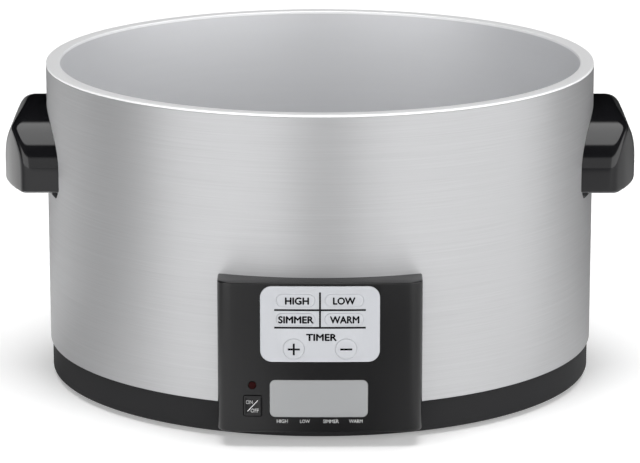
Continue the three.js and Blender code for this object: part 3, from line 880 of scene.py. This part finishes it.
def printBar(name, centre, width, height, depth, body, ink, turn=0.0):
    flat = []
    for step in range(17):
        flat.append((width * mm * (step / 16 - 0.5), height * mm / 2))
    flat += [(x, -y) for x, y in reversed(flat)]
    spun = [Matrix.Rotation(turn, 2) @ Vector(point) for point in flat]
    vertices = [(p.x, p.y, z) for z in (-0.01, 0.01) for p in spun]
    count = len(flat)
    faces = []
    for i in range(count // 2 - 1):
        j = count - 1 - i
        faces.append((i, i + 1, j - 1, j))
        faces.append((count + i, count + j, count + j - 1, count + i + 1))
    for i in range(count):
        j = (i + 1) % count
        faces.append((i, count + i, count + j, j))
    placeInk(name, meshOf(name, vertices, faces), centre, depth, body, ink)


wordShape = dict(height=3.3, weight=0.04, keyDepth=-1.08, plateDepth=-0.53)
signShape = dict(length=5.2, stroke=0.85)
lineShape = dict(length=39.1, stroke=0.82)
timerShape = dict(width=13.2, height=3.2)
keyWords = dict(key_high=("HIGH", 10.3, 0.6), key_low=("LOW", 9.6, -0.1), key_simmer=("SIMMER", 15.2, 0.1),
                key_warm=("WARM", 12.6, 0.1))


def printKeypad():
    keyDepth, weight = wordShape["keyDepth"], wordShape["weight"]
    for name, (word, width, shift) in keyWords.items():
        centre = keyOutline(name)[1]
        place = (centre[0] + shift * mm, centre[1])
        label = "word" + word.capitalize()
        printWord(label, word, place, width, wordShape["height"], keyDepth, name, inkBlack, weight)
    for name, turns in (("key_plus", (0, math.pi / 2)), ("key_minus", (0,))):
        centre = keyOutline(name)[1]
        for i, turn in enumerate(turns):
            label = name.replace("key_", "sign") + str(i + 1)
            printBar(label, centre, *signShape.values(), keyDepth - 0.01 * i, name, inkBlack, turn)
    depth, (length, stroke) = wordShape["plateDepth"], lineShape.values()
    highRow, lowRow = keyOutline("key_high")[1][1], keyOutline("key_simmer")[1][1]
    middle = (highRow + lowRow) / 2
    below = lowRow - (highRow - middle) + 0.5 * mm
    for label, height in (("lineUpper", middle), ("lineLower", below)):
        printBar(label, (0, height), length, stroke, depth, "base", inkBlack)
    top = highRow + 3.7 * mm
    place, tall = (0, (top + below) / 2), (top - below) / mm
    printBar("lineUpright", place, tall, stroke, depth - 0.01, "base", inkBlack, math.pi / 2)
    timer = (0.6 * mm, keyOutline("key_plus")[1][1] + 5.2 * mm)
    printWord("wordTimer", "TIMER", timer, *timerShape.values(), depth, "base", inkBlack, weight)


# Words under the display, then words and slash on the power button; places are in millimetres
displayWords = (("High", -15.7, 4.7), ("Low", -6.0, 4.2), ("Simmer", 5.2, 6.7), ("Warm", 15.9, 5.8))
displayPrint = dict(below=1.75, height=1.55, depth=-0.02, weight=0.01)
powerWords = (("ON", -1.45, 1.65, 2.9), ("OFF", 0.85, -2.1, 3.4))
powerPrint = dict(height=1.7, depth=-0.33, weight=0.004)
powerSlash = dict(length=6.6, stroke=0.2, depth=-0.32, turn=0.84)


def printHousing():
    size, centre = displayOutline()
    drop, height, depth, weight = displayPrint.values()
    below = centre[1] - size[1] / 2 - drop * mm
    for word, shift, width in displayWords:
        place = (centre[0] + shift * mm, below)
        printWord("mark" + word, word.upper(), place, width, height, depth, "base", inkWhite, weight)
    centre = keyOutline("power_button")[1]
    height, depth, weight = powerPrint.values()
    for word, across, up, width in powerWords:
        label = "mark" + word.capitalize() + "Power"
        place = (centre[0] + across * mm, centre[1] + up * mm)
        printWord(label, word, place, width, height, depth, "power_button", inkWhite, weight)
    length, stroke, depth, turn = powerSlash.values()
    printBar("markSlash", centre, length, stroke, depth, "power_button", inkWhite, turn)


printKeypad()
printHousing()
print("printing done")


# Side handles: a domed grip with a finger pocket under it and a skirt against the wrap
gripShape = dict(reach=144.5, top=126.2, shoulder=100.5, bottom=91, halfWidth=43.5, faceRadius=88,
                 flatTop=6.8, arch=2.15, fall=1.6, crease=2.6, underEdge=1.4)
pocketShape = dict(reach=141.5, top=113, shoulder=100.5, bottom=80, halfWidth=24, faceRadius=85, flatTop=9,
                   arch=2.15, fall=1.6, crease=5.0, underEdge=1.6)
skirtShape = inMetres(thick=2.6, bottom=88, top=100.5, halfWidth=42.5, slant=2.3)


def softMax(first, second, reach):
    share = np.clip(0.5 + 0.5 * (first - second) / reach, 0, 1)
    return first * share + second * (1 - share) + reach * share * (1 - share)


def roundedFall(along, up, width, height, power):
    # signed distance, nearly, to a rounded shoulder of the given width and height
    a, b = np.maximum(along, 0) / width, np.maximum(up, 0) / height
    total = np.maximum(a ** power + b ** power, 1e-12)
    level = total ** (1 / power)
    slopeA = (a ** (power - 1)) * total ** (1 / power - 1) / width
    slopeB = (b ** (power - 1)) * total ** (1 / power - 1) / height
    return (level - 1) / np.maximum(np.hypot(slopeA, slopeB), 1e-6)


def gripField(points, shape):
    x, y, z = points[..., 0], points[..., 1], points[..., 2]
    plan = np.hypot(x - (shape["reach"] - shape["faceRadius"]), y) - shape["faceRadius"]
    up = z - shape["shoulder"]
    height = shape["top"] - shape["shoulder"]
    arch = np.where(up > 0, roundedFall(np.abs(y), up, shape["halfWidth"], height, shape["arch"]),
                    np.abs(y) - shape["halfWidth"])
    edge = wrapRadius / mm + shape["flatTop"]
    width = shape["reach"] - edge
    profile = np.where(up > 0, roundedFall(x - edge, up, width, height, shape["fall"]), x - shape["reach"])
    whole = softMax(softMax(plan, profile, shape["crease"] / 2), arch, shape["crease"])
    return softMax(whole, shape["bottom"] - z, shape["underEdge"])


# Casts rays from a point inside the grip and closes the shape behind with a flat face
def gripMesh(name, shape, around=220, outward=96):
    start = np.array([116.0, 0.0, shape["bottom"] + 6.0])
    alpha = np.linspace(0, 2 * np.pi, around, endpoint=False)
    beta = np.linspace(0, np.pi / 2, outward + 1)[1:]
    b, a = np.meshgrid(beta, alpha, indexing="ij")
    rays = np.stack([np.cos(b), np.sin(b) * np.sin(a), np.sin(b) * np.cos(a)], -1)
    rays = np.concatenate([rays.reshape(-1, 3), [[1.0, 0.0, 0.0]]])
    low, high = np.zeros(len(rays)), np.full(len(rays), 90.0)
    for _ in range(44):
        middle = (low + high) / 2
        outside = gripField(start + rays * middle[:, None], shape) > 0
        high = np.where(outside, middle, high)
        low = np.where(outside, low, middle)
    places = (start + rays * low[:, None]) * mm
    tip = len(places) - 1
    faces = [(tip, i, (i + 1) % around) for i in range(around)]
    for level in range(outward - 1):
        near, far = level * around, (level + 1) * around
        for i in range(around):
            j = (i + 1) % around
            faces.append((near + i, far + i, far + j, near + j))
    faces.append([(outward - 1) * around + i for i in range(around)])
    mesh = meshOf(name, places, faces)
    mesh.transform(Matrix.Translation((0, axisY, 0)))
    return mesh


# The skirt's lower edge slants in to the wrap, so that it ends in a thin tip
def makeHandle():
    thick, bottom, top, halfWidth, slant = skirtShape.values()
    inner, outer = wrapRadius - 1 * mm, wrapRadius + thick
    levels = [(slant, bottom), (slant - 0.2 * mm, bottom + 0.05 * mm), (0.1 * mm, bottom + slant),
              (0, bottom + (slant + 0.3 * mm))]
    levels += [(inset, top + 2 * mm - inset) for inset in (0, 0.6 * mm)]
    loops = []
    for inset, height in levels:
        reach = outer - inset
        half = math.asin((halfWidth - inset) / outer)
        arc = [half * (step / 30 - 1) for step in range(61)]
        outside = [(reach * math.cos(t), axisY + reach * math.sin(t), height) for t in arc]
        inside = [(inner * math.cos(t), axisY + inner * math.sin(t), height) for t in reversed(arc)]
        loops.append(outside + inside)
    pocketSpace = rod(outer + 0.2 * mm, 0, 0.2, 360)
    pocket = booleanMesh(gripMesh("pocket", pocketShape, 120, 50), [pocketSpace])
    body = rod(wrapRadius + 0.06 * mm, 0, 0.2, 360)
    grip = booleanMesh(gripMesh("grip", gripShape), [stackLoops("skirt", loops)], "UNION")
    return booleanMesh(grip, [pocket, body, *screwHoleCutters()])


rightHandle = makeHandle()
leftHandle = rightHandle.copy()
toAxis, fromAxis = Matrix.Translation((0, axisY, 0)), Matrix.Translation((0, -axisY, 0))
leftHandle.transform(toAxis @ Matrix.Rotation(math.pi, 4, "Z") @ fromAxis)
for side, handleMesh in (("Right", rightHandle), ("Left", leftHandle)):
    cadName = "handle_" + side.lower()
    handle = finishPiece("handle" + side, handleMesh, "black_gloss", "base", [cadName], sharp=42)
    handle.visible_glossy = False  # the steel beside a handle shows no dark mirror image of it
print("handles built")


glandShape = inMetres(bore=2.9, collar=4.7, neck=3.8, clipLength=2.5)


def makeGland():
    low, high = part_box("cord_gland")
    bore, collar, neck, clipLength = glandShape.values()
    inner, outer = low.y - axisY, high.y - axisY
    clip, clipEnd, face = collar - 0.1 * mm, inner + clipLength, ringRadius + 0.1 * mm
    outline = roundedPath([
        (bore, inner, 0), (clip, inner, 0.3 * mm), (clip, clipEnd, 0.3 * mm), (neck, clipEnd, 0),
        (neck, face, 0), (collar, face, 0), (collar, outer, 0.5 * mm), (bore + 0.6 * mm, outer, 0.2 * mm),
        (bore, outer - 0.6 * mm, 0),
    ], 4)
    mesh = lathe("cordGland", outline, 56, (0, 0))
    place = Matrix.Translation((0, axisY, (low.z + high.z) / 2))
    mesh.transform(place @ Matrix.Rotation(-math.pi / 2, 4, "X"))
    finishPiece("cordGland", mesh, "rubber_foot", "base", ["cord_gland"])


makeGland()
print("cord outlet built")


# Studio: a pale floor, bright walls low down, a dark upper room and one soft box overhead, which
# mirror rays see a little dimmer (ceilingGloss)
studio = dict(floorRadius=6.0, floorTone=0.9, floorGlow=0.3, wallStrength=2.6, ceilingStrength=3.9,
              ceilingGloss=0.8)
# tones by direction round the object, in degrees from the front: stops are (degrees, tone)
wallTones = [
    (0, 0.35), (9, 0.38), (17, 0.95), (64, 1.0), (76, 0.2), (90, 0.05), (120, 0.01), (150, 0.0), (210, 0.0),
    (235, 0.04), (250, 0.2), (262, 0.8), (300, 1.0), (343, 0.95), (351, 0.38), (360, 0.35),
]
# painted pools of light on the floor, seen only by mirror rays: painted reflections in the steel and the
# panel
paintedPoolTones = [
    (0, 0.2), (5, 0.36), (10, 0.75), (16, 0.92), (32, 0.88), (52, 0.84), (62, 0.7), (70, 0.58), (78, 0.44),
    (87, 0.45), (95, 0.56), (104, 0.75), (115, 0.95), (125, 0.9), (138, 0.7), (152, 0.3), (164, 0.1),
    (180, 0.03), (200, 0.03), (214, 0.1), (231, 0.3), (241, 0.32), (254, 0.5), (265, 0.7), (290, 0.74),
    (303, 0.69), (320, 0.78), (333, 0.84), (343, 0.6), (351, 0.28), (356, 0.18), (360, 0.2),
]
lowTones = [(-90, 1.0), (26, 1.0), (32, 0.03), (90, 0.03)]
highTones = [(-90, 0.0), (62, 0.0), (66, 1.0), (90, 1.0)]


def aroundNode(tree, place):
    # degrees round the object, from the front by the left
    split = node(tree, "ShaderNodeSeparateXYZ", {0: place}).outputs
    turn = mathNode(tree, "ARCTAN2", split["X"], split["Y"])
    degrees = mathNode(tree, "ADD", mathNode(tree, "MULTIPLY", turn, 180 / math.pi), 180.0)
    return degrees, split["Z"]


def rampNode(tree, value, stops, low, high):
    ramp = node(tree, "ShaderNodeValToRGB", {"Fac": shareBetween(tree, value, low, high)})
    elements = ramp.color_ramp.elements
    while len(elements) > 1:
        elements.remove(elements[-1])
    for i, (place, tone) in enumerate(stops):
        position = (place - low) / (high - low)
        element = elements[0] if i == 0 else elements.new(position)
        element.position = position
        element.color = (tone, tone, tone, 1)
    return ramp.outputs["Color"]


# The floor is evenly pale to the camera; mirror rays see painted pools of light on it, set by direction
# round the object, which paint reflections into the steel and the panel
def makeFloor():
    loop = [(studio["floorRadius"] * math.cos(a), studio["floorRadius"] * math.sin(a), 0)
            for a in (2 * math.pi * i / 96 for i in range(96))]
    mesh = bpy.data.meshes.new("floor")
    mesh.from_pydata(loop, [], [list(range(96))])
    pale = (studio["floorTone"],) * 3
    material, tree, shader = startMaterial("floorPaper", pale, 0.8)
    shader.inputs["Specular IOR Level"].default_value = 0.0
    shader.inputs["Emission Strength"].default_value = studio["floorGlow"]
    degrees, _ = aroundNode(tree, objectPlace(tree))
    paintedPools = rampNode(tree, degrees, paintedPoolTones, 0, 360)
    glossy = node(tree, "ShaderNodeLightPath").outputs["Is Glossy Ray"]
    tone = mixColors(tree, glossy, pale, paintedPools)
    tree.links.new(tone, shader.inputs["Base Color"])
    tree.links.new(tone, shader.inputs["Emission Color"])
    mesh.materials.append(material)
    addObject("floor", mesh)


def makeRoom():
    world = bpy.data.worlds.new("room")
    world.use_nodes = True
    tree = world.node_tree
    place = node(tree, "ShaderNodeTexCoord").outputs["Generated"]
    degrees, height = aroundNode(tree, place)
    rise = mathNode(tree, "MULTIPLY", mathNode(tree, "ARCSINE", height), 180 / math.pi)
    around = rampNode(tree, degrees, wallTones, 0, 360)
    walls = vectorNode(tree, "MULTIPLY", around, rampNode(tree, rise, lowTones, -90, 90))
    ceiling = rampNode(tree, rise, highTones, -90, 90)
    glossy = node(tree, "ShaderNodeLightPath").outputs["Is Glossy Ray"]
    dimmed = vectorNode(tree, "SCALE", ceiling, spread(tree, glossy, 1.0, studio["ceilingGloss"]))
    wallLight = vectorNode(tree, "SCALE", walls, studio["wallStrength"])
    ceilingLight = vectorNode(tree, "SCALE", dimmed, studio["ceilingStrength"])
    both = vectorNode(tree, "ADD", wallLight, ceilingLight)
    tree.links.new(both, tree.nodes["Background"].inputs["Color"])
    bpy.context.scene.world = world


makeFloor()
makeRoom()
bpy.context.scene.view_settings.view_transform = "Standard"
print("studio set")
